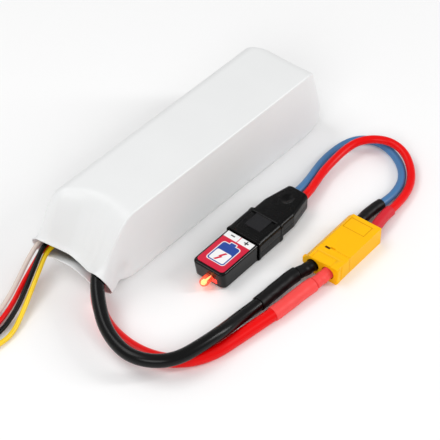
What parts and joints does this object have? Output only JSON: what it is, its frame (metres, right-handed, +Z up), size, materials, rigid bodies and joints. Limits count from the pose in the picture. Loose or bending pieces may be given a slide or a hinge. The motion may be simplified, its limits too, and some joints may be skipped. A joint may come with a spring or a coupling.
{
  "type": "lipo battery pack",
  "caption": "Lithium polymer battery pack in white shrink film, with silicone leads, a mated yellow connector pair, an adapter lead and a small plug-in cell guard.",
  "frame": {"origin": "middle of the shrink sleeve's footprint, on the surface that it lies on", "axes": "+X along the pack from its lead end to its closed end; +Y across the pack, away from the connector; +Z up"},
  "size_m": [0.2086, 0.099, 0.036],
  "materials": {
    "sleeve_film": "white, satin gloss shrink film",
    "pouch_foil": "silver grey, satin laminate",
    "tab_copper": "copper, plated",
    "tab_metal": "silver, plain",
    "foam_tape": "white, foam",
    "circuit_board": "green, solder mask",
    "solder": "silver, bright",
    "fibre_plate": "grey brown, pressed fibre",
    "silicone_black": "black, glossy silicone",
    "silicone_red": "red, glossy silicone",
    "silicone_blue": "blue, glossy",
    "silicone_yellow": "yellow, glossy",
    "silicone_white": "off-white, glossy",
    "shrink_black": "black, matte shrink",
    "shrink_red": "coral red, satin shrink",
    "balance_plastic": "white, moulded",
    "tinned_metal": "silver, tinned",
    "connector_yellow": "yellow, satin moulded",
    "contact_gold": "gold, plated",
    "plug_black": "black, semi-gloss moulded",
    "insulator_black": "black, moulded",
    "guard_black": "black, glossy moulded",
    "label_red": "crimson, white and blue, printed film",
    "chip_black": "black, moulded",
    "lamp_red": "orange red, clear moulded lens, lit"
  },
  "bodies": {
    "pack": {"heat_shrink_sleeve": "sleeve_film", "cell_1": "pouch_foil", "cell_2": "pouch_foil", "cell_3": "pouch_foil", "cell_1_negative_tab": "tab_copper", "cell_2_negative_tab": "tab_copper", "cell_3_negative_tab": "tab_copper", "cell_1_positive_tab": "tab_metal", "cell_2_positive_tab": "tab_metal", "cell_3_positive_tab": "tab_metal", "cell_pad_1": "foam_tape", "cell_pad_2": "foam_tape", "tab_board": "circuit_board", "tab_solder_joints": "solder", "front_insulator": "fibre_plate", "rear_end_plate": "fibre_plate", "main_lead_black": "silicone_black", "pigtail_black": "silicone_black", "balance_lead_black": "silicone_black", "main_lead_red": "silicone_red", "pigtail_red": "silicone_red", "balance_lead_red": "silicone_red", "balance_lead_yellow": "silicone_yellow", "balance_lead_white": "silicone_white", "splice_sleeve_black": "shrink_black", "cup_sleeve_black": "shrink_black", "splice_sleeve_red": "shrink_red", "cup_sleeve_red": "shrink_red", "balance_housing": "balance_plastic", "balance_contacts": "tinned_metal", "pack_connector_cap": "connector_yellow", "pack_connector_housing": "connector_yellow", "pack_contact_negative": "contact_gold", "pack_contact_positive": "contact_gold"},
    "adapter": {"adapter_lead_red": "silicone_red", "adapter_lead_blue": "silicone_blue", "adapter_sleeve_black": "shrink_black", "adapter_sleeve_red": "shrink_red", "adapter_connector_housing": "connector_yellow", "adapter_contact_negative": "contact_gold", "adapter_contact_positive": "contact_gold", "plug_contact_negative": "contact_gold", "plug_contact_positive": "contact_gold", "plug_shell_upper": "plug_black", "plug_shell_lower": "plug_black", "plug_contact_block": "insulator_black"},
    "guard": {"guard_board": "circuit_board", "guard_led_legs": "tinned_metal", "guard_pin_negative": "contact_gold", "guard_pin_positive": "contact_gold", "guard_case": "guard_black", "guard_base": "guard_black", "guard_label": "label_red", "guard_controller_chip": "chip_black", "guard_resistors": "chip_black", "guard_led": "lamp_red"}
  },
  "joints": [
    {"name": "adapter_unplug", "type": "slide", "parent": "pack", "child": "adapter", "axis": [0.9994, 0.0349, 0], "range_m": [0, 0.015]},
    {"name": "guard_unplug", "type": "slide", "parent": "adapter", "child": "guard", "axis": [-0.9998, -0.0175, 0], "range_m": [0, 0.01]}
  ]
}
